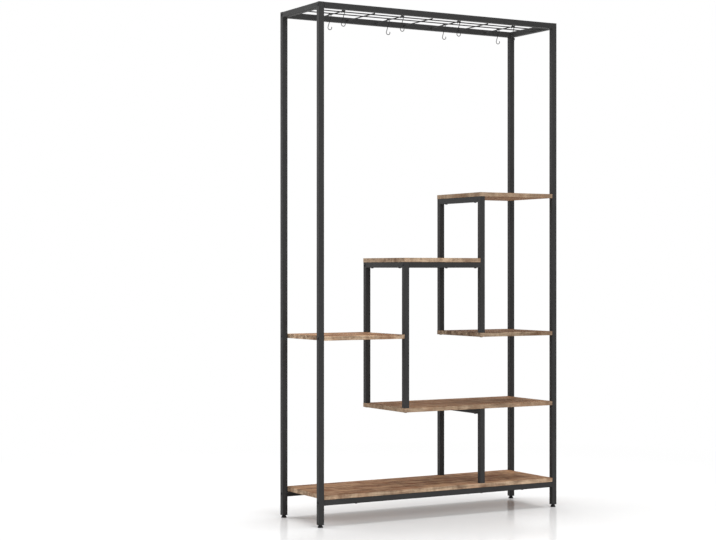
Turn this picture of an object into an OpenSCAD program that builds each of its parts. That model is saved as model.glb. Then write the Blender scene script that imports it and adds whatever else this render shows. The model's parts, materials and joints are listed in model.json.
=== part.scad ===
// Tiered plant stand: a square-tube frame with six staggered boards, a wire hanging
// grid across the top, eight swinging S-hooks and four levelling feet.
// Millimetres. X runs left to right, Y front to back, Z up; the origin is on the floor
// under the middle of the stand.

/* [Bays] */
// Clear width of the left bay, between its posts
left_bay = 320; // [300:5:380]
// Clear width of the middle bay
middle_bay = 300; // [270:5:380]
// Clear width of the right bay
right_bay = 300; // [270:5:380]
// Depth of the stand, front face to back face
depth = 300; // [250:5:380]
// Top of the frame above the floor
top_z = 1807; // [1600:1:2000]

/* [Tube] */
// Side of the square steel tube
tube = 20; // [18:0.5:25]
// Wall of the square tube
wall = 1.2; // [1:0.1:1.6]
// Outer radius of the tube's corners
corner_r = 2; // [1.8:0.1:3]

/* [Shelves] */
// Thickness of a shelf board
board = 15; // [14:0.5:20]
// Rounding of a board's long edges
board_edge = 0.8; // [0.3:0.1:2]
// Underside of the bottom board above the floor
bottom_z = 95; // [80:1:160]
// Underside of the low board, which spans the middle and right bays
low_z = 381; // [300:1:450]
// Underside of the left and right boards
side_z = 642; // [540:1:740]
// Underside of the centre board
centre_z = 913.5; // [820:0.5:1000]
// Underside of the high board
high_z = 1153.5; // [1080:0.5:1300]

/* [Fasteners] */
// Shank diameter of a frame bolt
bolt_d = 6; // [5:0.5:7]
// Head diameter of a frame bolt
bolt_head_d = 10.5; // [10:0.5:14]
// Head height of a frame bolt
bolt_head_h = 2; // [1.5:0.1:3]
// Hexagon key of a frame bolt, across its flats
bolt_key = 4; // [3:0.5:4.5]
// Length of bolt held by a threaded plug or insert
bolt_grip = 12; // [8:0.5:14]
// Outer diameter of a threaded insert in a board's end
insert_d = 9; // [8:0.5:11]
// Length of a threaded insert or plug
insert_len = 14; // [14:0.5:20]
// Shank diameter of a board screw
screw_d = 5; // [4:0.5:6]
// Head diameter of a board screw
screw_head_d = 10; // [8:0.5:12]
// Head height of a board screw
screw_head_h = 2.5; // [1.5:0.1:3.5]
// Depth that a board screw goes into its board
screw_bite = 11; // [8:0.5:12]
// Distance of the crossbars' screws from the front and back faces
screw_inset = 50; // [35:1:80]
// Distance of the bottom rails' screws from the outer posts
rail_screw_inset = 130; // [60:5:260]
// Widening of a clearance hole beyond its bolt or screw
hole_clear = 0.4; // [0.2:0.1:0.8]

/* [Feet] */
// Height of a foot's pad, floor to the plug above it
foot_h = 9.5; // [8:0.5:20]
// Diameter of a foot's pad on the floor
foot_base_d = 19; // [16:0.5:25]
// Diameter of a foot's pad at its top
foot_top_d = 13; // [11:0.5:16]
// Diameter of a foot's stem
stem_d = 8; // [6:0.5:10]
// Length of a foot's stem above its pad
stem_len = 26; // [20:0.5:35]
// Flange of a leg plug, under the post's end
plug_flange = 1.5; // [1:0.1:3]
// Height of a leg plug inside its post
plug_h = 22; // [16:0.5:30]
// Depth of the caps in the tops of the outer posts
cap_h = 5; // [3:0.5:5.5]

/* [Hanging grid] */
// Diameter of the grid's wires
wire_d = 4; // [3:0.1:4.5]
// Drop from the top of the frame to the axes of the cross wires
grid_drop = 12; // [8:0.5:12.5]
// Distance of the front long wire's axis from the front face
long_wire_front = 78; // [60:1:85]
// Spacing of the two long wires
long_wire_gap = 53; // [30:1:60]
// Length of the cross wires' free ends in front of the front long wire
cross_wire_lip = 6; // [4:0.5:20]
// Spacing of the cross wires
cross_pitch = 120; // [90:1:130]

/* [Hooks] */
// Diameter of a hook's wire
hook_wire = 2.5; // [2:0.1:3.6]
// Height of a hook over its two bends
hook_h = 59; // [52:0.5:80]
// Radius of a hook's lower bowl, to the middle of its wire
hook_bowl_r = 7.5; // [6.5:0.1:13]
// Radius of a hook's upper loop, to the middle of its wire
hook_loop_r = 6; // [5.5:0.1:9]
// Turn of the lower bowl, from the stem to its tip
bowl_turn = 215; // [200:1:240]
// Turn of the upper loop, from the stem to its tip
loop_turn = 230; // [210:1:240]
// Distance of the front row of hooks behind the front long wire
front_row_gap = 8; // [6:0.5:20]
// Distance of the back row of hooks behind the back long wire
back_row_gap = 56; // [10:1:60]

/* [Hidden] */
$fn = 64;

// Clearances and allowances
fit_gap = 0.05;     // between pieces that are pressed, screwed or welded together
notch_gap = 0.2;    // between the centre board's notches and the posts in front and behind
stem_gap = 0.08;    // around a foot's stem in its plug
foot_gap = 0.2;     // between a foot's pad and its plug
hook_gap = 0.2;     // between a hook's loop and the wire that carries it
pilot_extra = 0.5;  // depth of a pilot hole past the tip of its screw
tip_step = 0.03;    // step from a hook's wire to its rounded tip
over = 1;           // how far a cutter runs past the face that it opens

// Colours
black_steel = [0.16, 0.16, 0.17];
dark_plastic = [0.1, 0.1, 0.1];
rustic_wood = [0.55, 0.43, 0.33];
bright_steel = [0.6, 0.6, 0.62];
brass = [0.78, 0.62, 0.32];

// Places across the width
width = 4 * tube + left_bay + middle_bay + right_bay;
left_x = -width / 2;                              // left face of the left posts
inner_left_x = left_x + tube + left_bay;          // left face of the inner left posts
inner_right_x = inner_left_x + tube + middle_bay; // left face of the inner right posts
right_x = width / 2 - tube;                       // left face of the right posts

// Places along the depth
front_y = -depth / 2;              // front face of the front tubes
back_y = depth / 2 - tube;         // front face of the back tubes
between_y = depth - 2 * tube;      // clear distance between front and back tubes
tube_ys = [front_y, back_y];
screw_ys = [front_y + screw_inset, depth / 2 - screw_inset];
long_wire_ys = [front_y + long_wire_front, front_y + long_wire_front + long_wire_gap];
front_row_y = long_wire_ys[0] + front_row_gap;
back_row_y = long_wire_ys[1] + back_row_gap;
rail_screw_xs = [left_x + tube + rail_screw_inset, right_x - rail_screw_inset];

// Heights
post_foot_z = foot_h + plug_flange;   // lower end of the outer posts' tube
bottom_rail_z = bottom_z - tube;
top_rail_z = top_z - tube;
centre_rail_z = centre_z - tube;
cross_wire_z = top_z - grid_drop;
long_wire_z = cross_wire_z - wire_d - fit_gap;

// Heights of the bolts through each kind of post
rail_bolt_zs = [bottom_rail_z + tube / 2, top_rail_z + tube / 2];
left_bolt_zs = concat(rail_bolt_zs, [side_z + board / 2]);
right_bolt_zs = concat(rail_bolt_zs, [low_z + board / 2, side_z + board / 2, high_z + board / 2]);
centre_bolt_z = centre_rail_z + tube / 2;
side_bolt_z = side_z + board / 2;

// A hook's form in its own plane: the loop's centre is the origin and the stem is upright
loop_drop = hook_loop_r - hook_wire / 2 - wire_d / 2 - hook_gap; // below the wire's axis
bend_drop = hook_h - hook_wire - hook_bowl_r - hook_loop_r;      // from bend centre to bend centre
hook_stem_len = sqrt(pow(bend_drop, 2) - pow(hook_bowl_r + hook_loop_r, 2));

// An arc of wire about (x, z), as its length and its centre of gravity
function arc_weight(x, z, r, start, turn) =
    let (rad = turn * PI / 180)
    [
        r * rad,
        x + r * (sin(start + turn) - sin(start)) / rad,
        z + r * (cos(start) - cos(start + turn)) / rad
    ];

// A hook hangs with its centre of gravity straight under its loop, so it leans by this angle
hook_weights = [
    arc_weight(0, 0, hook_loop_r, 0, loop_turn),
    arc_weight(hook_loop_r + hook_bowl_r, -hook_stem_len, hook_bowl_r, 180, bowl_turn),
    [hook_stem_len, hook_loop_r, -hook_stem_len / 2]
];
function hook_moment(axis) =
    hook_weights[0][0] * hook_weights[0][axis]
    + hook_weights[1][0] * hook_weights[1][axis]
    + hook_weights[2][0] * hook_weights[2][axis];
hook_lean = atan2(hook_moment(1), -hook_moment(2));

// The cross wires, numbered from the left; every second one carries two hooks
cross_wires = 7;
function cross_wire_x(i) = (i - (cross_wires - 1) / 2) * cross_pitch;

// Places of the four outer posts
outer_posts = [[left_x, front_y], [left_x, back_y], [right_x, front_y], [right_x, back_y]];

// The boards that inner frames stand on, each as the left face of the frame's posts, the
// top of the board and the thickness that the frame's bolts pass through from below
inner_stands = [
    [inner_left_x, low_z + board, board],
    [inner_right_x, side_z + board, board],
    [inner_right_x, bottom_z + board, board + tube]
];

// The crossbars under boards, each as its left face and its underside
crossbars = [
    [inner_left_x, centre_rail_z], [inner_right_x, centre_rail_z],
    [inner_right_x, high_z - tube], [inner_right_x, low_z - tube]
];

// A rectangle with round corners, its corner at the origin
module rounded_rect(w, h, r) {
    translate([r, 0]) square([w - 2 * r, h]);
    translate([0, r]) square([w, h - 2 * r]);
    for (x = [r, w - r], y = [r, h - r])
        translate([x, y]) circle(r);
}

module tube_section() {
    bore = tube - 2 * wall;
    difference() {
        rounded_rect(tube, tube, corner_r);
        translate([wall, wall]) rounded_rect(bore, bore, max(corner_r - wall, 0.2));
    }
}

// Square tubes along X, Y and Z from their lowest corner
module tube_along_x(at, len) {
    translate(at) rotate([90, 0, 90]) linear_extrude(len) tube_section();
}

module tube_along_y(at, len) {
    translate(at) translate([0, 0, tube]) rotate([-90, 0, 0]) linear_extrude(len) tube_section();
}

module tube_along_z(at, len) {
    translate(at) linear_extrude(len) tube_section();
}

// Round rods along X and Z from the middle of one end, as solids or to cut holes
module rod_x(at, d, len) {
    translate(at) rotate([0, 90, 0]) cylinder(d = d, h = len);
}

module rod_z(at, d, len) {
    translate(at) cylinder(d = d, h = len);
}

// A post with bolt holes through it along X
module bolted_post(x, y, z, len, bolt_zs) {
    color(black_steel) difference() {
        tube_along_z([x, y, z], len);
        for (bolt_z = bolt_zs)
            rod_x([x - over, y + tube / 2, bolt_z], bolt_d + hole_clear, tube + 2 * over);
    }
}

module outer_post(x, y, bolt_zs) {
    bolted_post(x, y, post_foot_z, top_z - post_foot_z, bolt_zs);
}

// The posts of the three inner frames, each from the board it stands on
module inner_left_post(y) {
    bolted_post(inner_left_x, y, low_z + board, centre_z - low_z - board, [side_bolt_z, centre_bolt_z]);
}

module upper_right_post(y) {
    bolted_post(inner_right_x, y, side_z + board, high_z - side_z - board, [centre_bolt_z]);
}

module lower_right_post(y) {
    bolted_post(inner_right_x, y, bottom_z + board, low_z - bottom_z - board, []);
}

module top_long_rail(y) {
    color(black_steel) tube_along_x([left_x + tube, y, top_rail_z], width - 2 * tube);
}

module top_side_rail(x) {
    color(black_steel) tube_along_y([x, front_y + tube, top_rail_z], between_y);
}

// The bottom rail also lets the board's screws and the lower frame's bolts through
module bottom_rail(y) {
    color(black_steel) difference() {
        tube_along_x([left_x + tube, y, bottom_rail_z], width - 2 * tube);
        for (x = rail_screw_xs)
            rod_z([x, y + tube / 2, bottom_rail_z - over], screw_d + hole_clear, tube + 2 * over);
        rod_z([inner_right_x + tube / 2, y + tube / 2, bottom_rail_z - over],
            bolt_d + hole_clear, tube + 2 * over);
    }
}

module centre_rail(y) {
    color(black_steel) tube_along_x([inner_left_x + tube, y, centre_rail_z], middle_bay);
}

// A crossbar between two inner posts, with holes for the two screws that hold a board
module crossbar(x, z) {
    color(black_steel) difference() {
        tube_along_y([x, front_y + tube, z], between_y);
        for (y = screw_ys)
            rod_z([x + tube / 2, y, z - over], screw_d + hole_clear, tube + 2 * over);
    }
}

// A plain board from x, len long, with its long edges rounded
module slab(x, z, len) {
    translate([x, front_y, z]) rotate([90, 0, 90])
        linear_extrude(len) rounded_rect(depth, board, board_edge);
}

// Holes for the threaded inserts in a board's end face at x; side is 1 where the board
// lies to the right of that face and -1 where it lies to the left
module insert_holes(x, z, side) {
    for (y = tube_ys)
        rod_x([side > 0 ? x - over : x - insert_len, y + tube / 2, z + board / 2],
            insert_d, insert_len + over);
}

// The pilot hole of one screw from below, in a board whose underside is at z
module pilot(x, y, z) {
    rod_z([x, y, z - over], screw_d + 2 * fit_gap, over + screw_bite + pilot_extra);
}

// Pilot holes for the two screws of a crossbar under a board
module crossbar_pilots(x, z) {
    for (y = screw_ys)
        pilot(x + tube / 2, y, z);
}

// Clearance holes for the bolts that hold an inner frame's posts on a board
module standing_holes(x, z) {
    for (y = tube_ys)
        rod_z([x + tube / 2, y + tube / 2, z - over], bolt_d + hole_clear, board + 2 * over);
}

module bottom_board() {
    color(rustic_wood) difference() {
        slab(left_x + tube, bottom_z, width - 2 * tube);
        standing_holes(inner_right_x, bottom_z);
        for (x = rail_screw_xs, y = tube_ys)
            pilot(x, y + tube / 2, bottom_z);
    }
}

module low_board() {
    color(rustic_wood) difference() {
        slab(inner_left_x, low_z, right_x - inner_left_x);
        insert_holes(right_x, low_z, -1);
        standing_holes(inner_left_x, low_z);
        crossbar_pilots(inner_right_x, low_z);
    }
}

module left_board() {
    color(rustic_wood) difference() {
        slab(left_x + tube, side_z, left_bay);
        insert_holes(left_x + tube, side_z, 1);
        insert_holes(inner_left_x, side_z, -1);
    }
}

module right_board() {
    color(rustic_wood) difference() {
        slab(inner_right_x, side_z, tube + right_bay);
        insert_holes(right_x, side_z, -1);
        standing_holes(inner_right_x, side_z);
    }
}

// The centre board's right end is notched round the inner right posts, so that a tongue
// between them lies on the frame's middle crossbar
module centre_board() {
    color(rustic_wood) difference() {
        slab(inner_left_x, centre_z, middle_bay + 2 * tube);
        for (y = [front_y - over, back_y - notch_gap])
            translate([inner_right_x, y, centre_z - over])
                cube([tube + over, tube + over + notch_gap, board + 2 * over]);
        crossbar_pilots(inner_left_x, centre_z);
        crossbar_pilots(inner_right_x, centre_z);
    }
}

module high_board() {
    color(rustic_wood) difference() {
        slab(inner_right_x, high_z, tube + right_bay);
        insert_holes(right_x, high_z, -1);
        crossbar_pilots(inner_right_x, high_z);
    }
}

// Two wires along the stand, welded between the top side rails
module grid_long_wires() {
    color(black_steel) for (y = long_wire_ys)
        rod_x([left_x + tube, y, long_wire_z], wire_d, width - 2 * tube);
}

// Short wires across the long ones, welded to the back rail; the hooks hang on these
module grid_cross_wires() {
    tip_y = long_wire_ys[0] - cross_wire_lip;
    color(black_steel) for (i = [0 : cross_wires - 1])
        translate([cross_wire_x(i), tip_y, cross_wire_z])
            rotate([-90, 0, 0]) cylinder(d = wire_d, h = back_y - tip_y);
}

// A bend of hook wire in the XZ plane about (x, z), which ends in a rounded tip
module wire_bend(x, z, r, start, turn) {
    translate([x, 0, z]) rotate([90, 0, 0]) rotate([0, 0, start]) {
        rotate_extrude(angle = turn) translate([r, 0]) circle(d = hook_wire);
        rotate([0, 0, turn]) translate([r, 0, 0]) sphere(d = hook_wire - 2 * tip_step);
    }
}

// An S-hook: a small loop over its cross wire, a straight stem and an open bowl
module hook(wire, y) {
    color(black_steel) translate([cross_wire_x(wire), y, cross_wire_z - loop_drop])
        rotate([0, hook_lean, 0]) {
            wire_bend(0, 0, hook_loop_r, 0, loop_turn);
            translate([hook_loop_r, 0, -hook_stem_len]) cylinder(d = hook_wire, h = hook_stem_len);
            wire_bend(hook_loop_r + hook_bowl_r, -hook_stem_len, hook_bowl_r, 180, bowl_turn);
        }
}

// A levelling foot: a conical pad with a raised shoulder and a stem
module foot(x, y) {
    rim = foot_h / 6;
    pad_top = foot_h - foot_gap;
    color(dark_plastic) translate([x + tube / 2, y + tube / 2, 0]) rotate_extrude()
        polygon([
            [0, 0], [foot_base_d / 2 - rim / 4, 0], [foot_base_d / 2, rim / 4], [foot_base_d / 2, rim],
            [foot_top_d / 2, pad_top - rim], [foot_top_d / 2, pad_top], [stem_d / 2, pad_top],
            [stem_d / 2, foot_h + stem_len], [0, foot_h + stem_len]
        ]);
}

// A square plug that fits the tube's bore, its lower corner at the origin
module bore_plug(len) {
    side = tube - 2 * wall - 2 * fit_gap;
    inset = wall + fit_gap;
    translate([inset, inset, 0]) linear_extrude(len) rounded_rect(side, side, max(corner_r - wall, 0.2));
}

// The plug in an outer post's lower end, with its flange and the foot's bore
module leg_plugs() {
    color(dark_plastic) for (p = outer_posts) difference() {
        translate([p[0], p[1], 0]) {
            translate([0, 0, foot_h]) linear_extrude(plug_flange) rounded_rect(tube, tube, corner_r);
            translate([0, 0, foot_h + plug_flange]) bore_plug(plug_h);
        }
        rod_z([p[0] + tube / 2, p[1] + tube / 2, foot_h - over], stem_d + 2 * stem_gap,
            plug_flange + plug_h + 2 * over);
    }
}

// The caps in the outer posts' upper ends, flush with the frame's top
module post_caps() {
    color(dark_plastic) for (p = outer_posts)
        translate([p[0], p[1], top_z - cap_h]) bore_plug(cap_h);
}

// A threaded plug of a rail along X, its outer end at x; side as for insert_holes
module rail_plug(x, y, z, side) {
    difference() {
        translate([side > 0 ? x : x - insert_len, y, z]) rotate([90, 0, 90]) bore_plug(insert_len);
        rod_x([x - insert_len - over, y + tube / 2, z + tube / 2], bolt_d + 2 * fit_gap,
            2 * (insert_len + over));
    }
}

module rail_plugs() {
    color(bright_steel) for (y = tube_ys) {
        for (z = [bottom_rail_z, top_rail_z]) {
            rail_plug(left_x + tube, y, z, 1);
            rail_plug(right_x, y, z, -1);
        }
        rail_plug(inner_left_x + tube, y, centre_rail_z, 1);
        rail_plug(inner_right_x, y, centre_rail_z, -1);
    }
}

module post_plugs() {
    color(bright_steel) for (s = inner_stands, y = tube_ys) difference() {
        translate([s[0], y, s[1]]) bore_plug(insert_len);
        rod_z([s[0] + tube / 2, y + tube / 2, s[1] - over], bolt_d + 2 * fit_gap, insert_len + 2 * over);
    }
}

// A threaded insert in a board's end face at x
module board_insert(x, z, side) {
    for (y = tube_ys)
        difference() {
            rod_x([side > 0 ? x : x - insert_len, y + tube / 2, z + board / 2],
                insert_d - 2 * fit_gap, insert_len);
            rod_x([x - insert_len - over, y + tube / 2, z + board / 2], bolt_d + 2 * fit_gap,
                2 * (insert_len + over));
        }
}

module board_inserts() {
    color(brass) {
        board_insert(left_x + tube, side_z, 1);
        board_insert(inner_left_x, side_z, -1);
        for (z = [low_z, side_z, high_z])
            board_insert(right_x, z, -1);
    }
}

// A bolt along +Z with the seat of its head at the origin
module bolt(len) {
    chamfer = bolt_head_h / 4;
    difference() {
        rotate_extrude() polygon([
            [0, -bolt_head_h], [bolt_head_d / 2 - chamfer, -bolt_head_h],
            [bolt_head_d / 2, chamfer - bolt_head_h], [bolt_head_d / 2, 0],
            [bolt_d / 2, 0], [bolt_d / 2, len], [0, len]
        ]);
        translate([0, 0, -bolt_head_h - over])
            cylinder(d = bolt_key / cos(30), h = over + 0.8 * bolt_head_h, $fn = 6);
    }
}

// Pairs of bolts along X, front and back, with their heads at x; side 1 points them right
module bolt_pair_x(x, z, side) {
    for (y = tube_ys)
        translate([x, y + tube / 2, z]) rotate([0, side * 90, 0]) bolt(tube + bolt_grip);
}

module left_bolts() {
    color(black_steel) for (z = left_bolt_zs)
        bolt_pair_x(left_x, z, 1);
}

module right_bolts() {
    color(black_steel) for (z = right_bolt_zs)
        bolt_pair_x(width / 2, z, -1);
}

module inner_bolts() {
    color(black_steel) {
        bolt_pair_x(inner_left_x + tube, side_bolt_z, -1);
        bolt_pair_x(inner_left_x, centre_bolt_z, 1);
        bolt_pair_x(inner_right_x + tube, centre_bolt_z, -1);
    }
}

// Bolts from below through a board, and at the bottom through the rail too, into a post
module standing_bolts() {
    color(black_steel) for (s = inner_stands, y = tube_ys)
        translate([s[0] + tube / 2, y + tube / 2, s[1] - s[2]]) bolt(s[2] + bolt_grip);
}

// A board screw along +Z with the seat of its head at the origin
module board_screw() {
    chamfer = screw_head_h / 4;
    difference() {
        rotate_extrude() polygon([
            [0, -screw_head_h], [screw_head_d / 2 - chamfer, -screw_head_h],
            [screw_head_d / 2, chamfer - screw_head_h], [screw_head_d / 2, 0], [screw_d / 2, 0],
            [screw_d / 2, tube + screw_bite - screw_d / 2], [0, tube + screw_bite]
        ]);
        translate([0, 0, -screw_head_h - over])
            cylinder(d = 0.6 * screw_d / cos(30), h = over + 0.6 * screw_head_h, $fn = 6);
    }
}

module board_screws() {
    color(black_steel) {
        for (c = crossbars, y = screw_ys)
            translate([c[0] + tube / 2, y, c[1]]) board_screw();
        for (x = rail_screw_xs, y = tube_ys)
            translate([x, y + tube / 2, bottom_rail_z]) board_screw();
    }
}

outer_post(left_x, front_y, left_bolt_zs);  // post_front_left
outer_post(left_x, back_y, left_bolt_zs);  // post_back_left
outer_post(right_x, front_y, right_bolt_zs);  // post_front_right
outer_post(right_x, back_y, right_bolt_zs);  // post_back_right
top_long_rail(front_y);  // top_rail_front
top_long_rail(back_y);  // top_rail_back
top_side_rail(left_x);  // top_rail_left
top_side_rail(right_x);  // top_rail_right
bottom_rail(front_y);  // bottom_rail_front
bottom_rail(back_y);  // bottom_rail_back
inner_left_post(front_y);  // inner_left_post_front
inner_left_post(back_y);  // inner_left_post_back
crossbar(inner_left_x, centre_rail_z);  // inner_left_crossbar
upper_right_post(front_y);  // upper_right_post_front
upper_right_post(back_y);  // upper_right_post_back
crossbar(inner_right_x, high_z - tube);  // upper_right_top_crossbar
crossbar(inner_right_x, centre_rail_z);  // upper_right_mid_crossbar
lower_right_post(front_y);  // lower_right_post_front
lower_right_post(back_y);  // lower_right_post_back
crossbar(inner_right_x, low_z - tube);  // lower_right_crossbar
centre_rail(front_y);  // centre_rail_front
centre_rail(back_y);  // centre_rail_back
bottom_board();
low_board();
left_board();
right_board();
centre_board();
high_board();
grid_long_wires();
grid_cross_wires();
hook(0, front_row_y);  // hook_front_1
hook(2, front_row_y);  // hook_front_2
hook(4, front_row_y);  // hook_front_3
hook(6, front_row_y);  // hook_front_4
hook(0, back_row_y);  // hook_back_1
hook(2, back_row_y);  // hook_back_2
hook(4, back_row_y);  // hook_back_3
hook(6, back_row_y);  // hook_back_4
foot(left_x, front_y);  // foot_front_left
foot(left_x, back_y);  // foot_back_left
foot(right_x, front_y);  // foot_front_right
foot(right_x, back_y);  // foot_back_right
leg_plugs();
post_caps();
rail_plugs();
post_plugs();
board_inserts();
left_bolts();
right_bolts();
inner_bolts();
standing_bolts();
board_screws();
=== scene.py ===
"""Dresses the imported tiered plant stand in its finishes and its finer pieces.

The boards get a rustic brown grain, the tubes and wires a black powder coat. Bent hooks,
levelling feet with threads, domed bolts and screws, weld beads and the rounded wires of
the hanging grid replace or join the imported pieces. A white studio surrounds the stand.
Everything is in metres: X runs left to right, Y front to back, Z up.
"""

import json
import math

import bmesh
import bpy
from bpy.props import FloatProperty, FloatVectorProperty, IntProperty, PointerProperty
from bpy.types import Operator, Panel, PropertyGroup
from mathutils import Matrix, Vector


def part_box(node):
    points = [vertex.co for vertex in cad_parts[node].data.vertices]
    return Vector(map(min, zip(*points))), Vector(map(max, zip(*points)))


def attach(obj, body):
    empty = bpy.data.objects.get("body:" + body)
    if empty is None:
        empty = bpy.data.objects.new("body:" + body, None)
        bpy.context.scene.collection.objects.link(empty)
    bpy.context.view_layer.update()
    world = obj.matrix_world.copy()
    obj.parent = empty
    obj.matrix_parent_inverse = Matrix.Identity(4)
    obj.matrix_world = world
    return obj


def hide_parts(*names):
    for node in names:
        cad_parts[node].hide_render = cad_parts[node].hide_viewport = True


bl_info = {
    "name": "Tiered plant stand",
    "version": (1, 0, 0),
    "blender": (4, 5, 0),
    "location": "3D View > Sidebar > Plant stand",
    "description": "Finishes, hooks, feet, fasteners, welds and studio of a tiered plant stand",
    "category": "Object",
}

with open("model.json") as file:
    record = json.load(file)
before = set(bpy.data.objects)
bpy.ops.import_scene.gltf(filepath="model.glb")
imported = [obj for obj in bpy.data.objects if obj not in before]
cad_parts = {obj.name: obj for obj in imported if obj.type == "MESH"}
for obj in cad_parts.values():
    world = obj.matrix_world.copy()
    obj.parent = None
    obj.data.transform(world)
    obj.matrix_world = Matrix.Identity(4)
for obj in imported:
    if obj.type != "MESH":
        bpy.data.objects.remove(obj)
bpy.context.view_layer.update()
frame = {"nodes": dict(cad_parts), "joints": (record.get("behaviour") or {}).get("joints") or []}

MM = 0.001

CORNERS = ["front_left", "back_left", "front_right", "back_right"]
ROWS = ["front", "back"]
# Tubes along Y that are welded between a front and a back post
WELDED_BARS = [
    "top_rail_left", "top_rail_right", "inner_left_crossbar", "upper_right_top_crossbar",
    "upper_right_mid_crossbar", "lower_right_crossbar",
]
# Tubes that come in pairs, one in front and one behind
PAIRED_TUBES = [
    "top_rail", "bottom_rail", "inner_left_post", "upper_right_post", "lower_right_post",
    "centre_rail",
]
TUBES = (WELDED_BARS + [f"post_{corner}" for corner in CORNERS]
         + [f"{tube}_{row}" for tube in PAIRED_TUBES for row in ROWS])
HOOKS = [f"hook_{row}_{i}" for row in ROWS for i in range(1, 5)]
FEET = [f"foot_{corner}" for corner in CORNERS]
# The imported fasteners, each with the kind whose sizes it has
FASTENERS = {
    "left_bolts": "bolt", "right_bolts": "bolt", "inner_bolts": "bolt",
    "standing_bolts": "bolt", "board_screws": "screw",
}
# How light each board's print came out beside the common tones, how strongly its grain
# shows, and the shift of its pattern in metres
BOARDS = {
    "bottom_board": (0.86, 0.78, (1.37, 0.41, 0.23)),
    "low_board": (0.70, 0.52, (5.84, 1.52, 0.66)),
    "left_board": (0.82, 1.10, (6.40, 1.90, 0.50)),
    "right_board": (0.50, 0.95, (21.53, 6.09, 2.97)),
    "centre_board": (0.80, 0.66, (20.92, 5.76, 2.78)),
    "high_board": (0.66, 0.42, (18.24, 5.02, 2.26)),
}
# Repeats per metre of each pattern of the wood print, along a board and across it
GRAIN = {
    "wander": (4.0, 9.0), "bands": (2.4, 26.0), "fibres": (10.0, 330.0),
    "blotches": (19.0, 30.0), "chatter": (62.0, 17.0), "streaks": (3.4, 75.0),
    "knots": (5.5, 15.0), "lines": (5.0, 210.0), "patches": (11.0, 15.0),
    "pores": (70.0, 1300.0),
}
# How far the grain wanders from straight along X, Y and Z
GRAIN_SWAY = (0.02, 0.035, 0.02)
# Settled dust as it looks on each kind of finish
DUST_ON_COAT = (0.35, 0.34, 0.32)
DUST_ON_PLASTIC = (0.30, 0.29, 0.28)
DUST_ON_WOOD = (0.60, 0.57, 0.53)
WHITE = (1.0, 1.0, 1.0, 1.0)

# How far a foot's pad is drawn in from its base at the top, and at shares of its height,
# in millimetres
PAD_SHOULDER = 3.0
PAD_SIDE = [(0.0, 0.17), (0.40, 0.25), (1.30, 0.46), (2.30, 0.68), (PAD_SHOULDER, 0.84)]
# The weld collar at a wire's end, as radius and height in radii of the wire
COLLAR = [(0.0, 0.0), (1.75, 0.0), (1.66, 0.16), (1.32, 0.42), (1.1, 0.85), (0.97, 1.5),
          (0.0, 1.5)]

# The size of each lamp, its place and what it points at
LAMPS = {
    "front": ((2.6, 2.6), (-0.4, -4.6, 2.4), (0.1, 0.0, 1.0)),
    "rim": ((1.6, 2.6), (-2.7, 2.5, 2.0), (0.0, 0.0, 1.2)),
    "top": ((5.0, 4.0), (0.4, 0.3, 6.0), (0.1, 0.1, 0.0)),
}
# Half the floor's width, and how far out its own white sets in and shows alone
FLOOR_REACH = 9.0
GLOW_NEAR, GLOW_FAR = 0.7, 2.6


def number(label, about, value, **more):
    """A plain number property."""
    return FloatProperty(name=label, description=about, default=value, **more)


def distance(label, about, millimetres):
    """A length property in metres, from its size in millimetres."""
    return number(label, about, millimetres * MM, min=0.0, precision=5, subtype="DISTANCE",
                  unit="LENGTH")


def angle(label, about, degrees):
    """An angle property in radians, from its size in degrees."""
    return number(label, about, math.radians(degrees), subtype="ANGLE", unit="ROTATION")


def power(label, about, watts):
    """The power of a lamp."""
    return number(label, about, watts, min=0.0, subtype="POWER", unit="POWER")


def portion(label, about, value):
    """A share from 0 to 1."""
    return number(label, about, value, min=0.0, max=1.0, subtype="FACTOR")


def colour(label, about, value):
    """A colour property in linear light."""
    return FloatVectorProperty(name=label, description=about, default=value, size=3,
                               min=0.0, max=1.0, subtype="COLOR")


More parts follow.
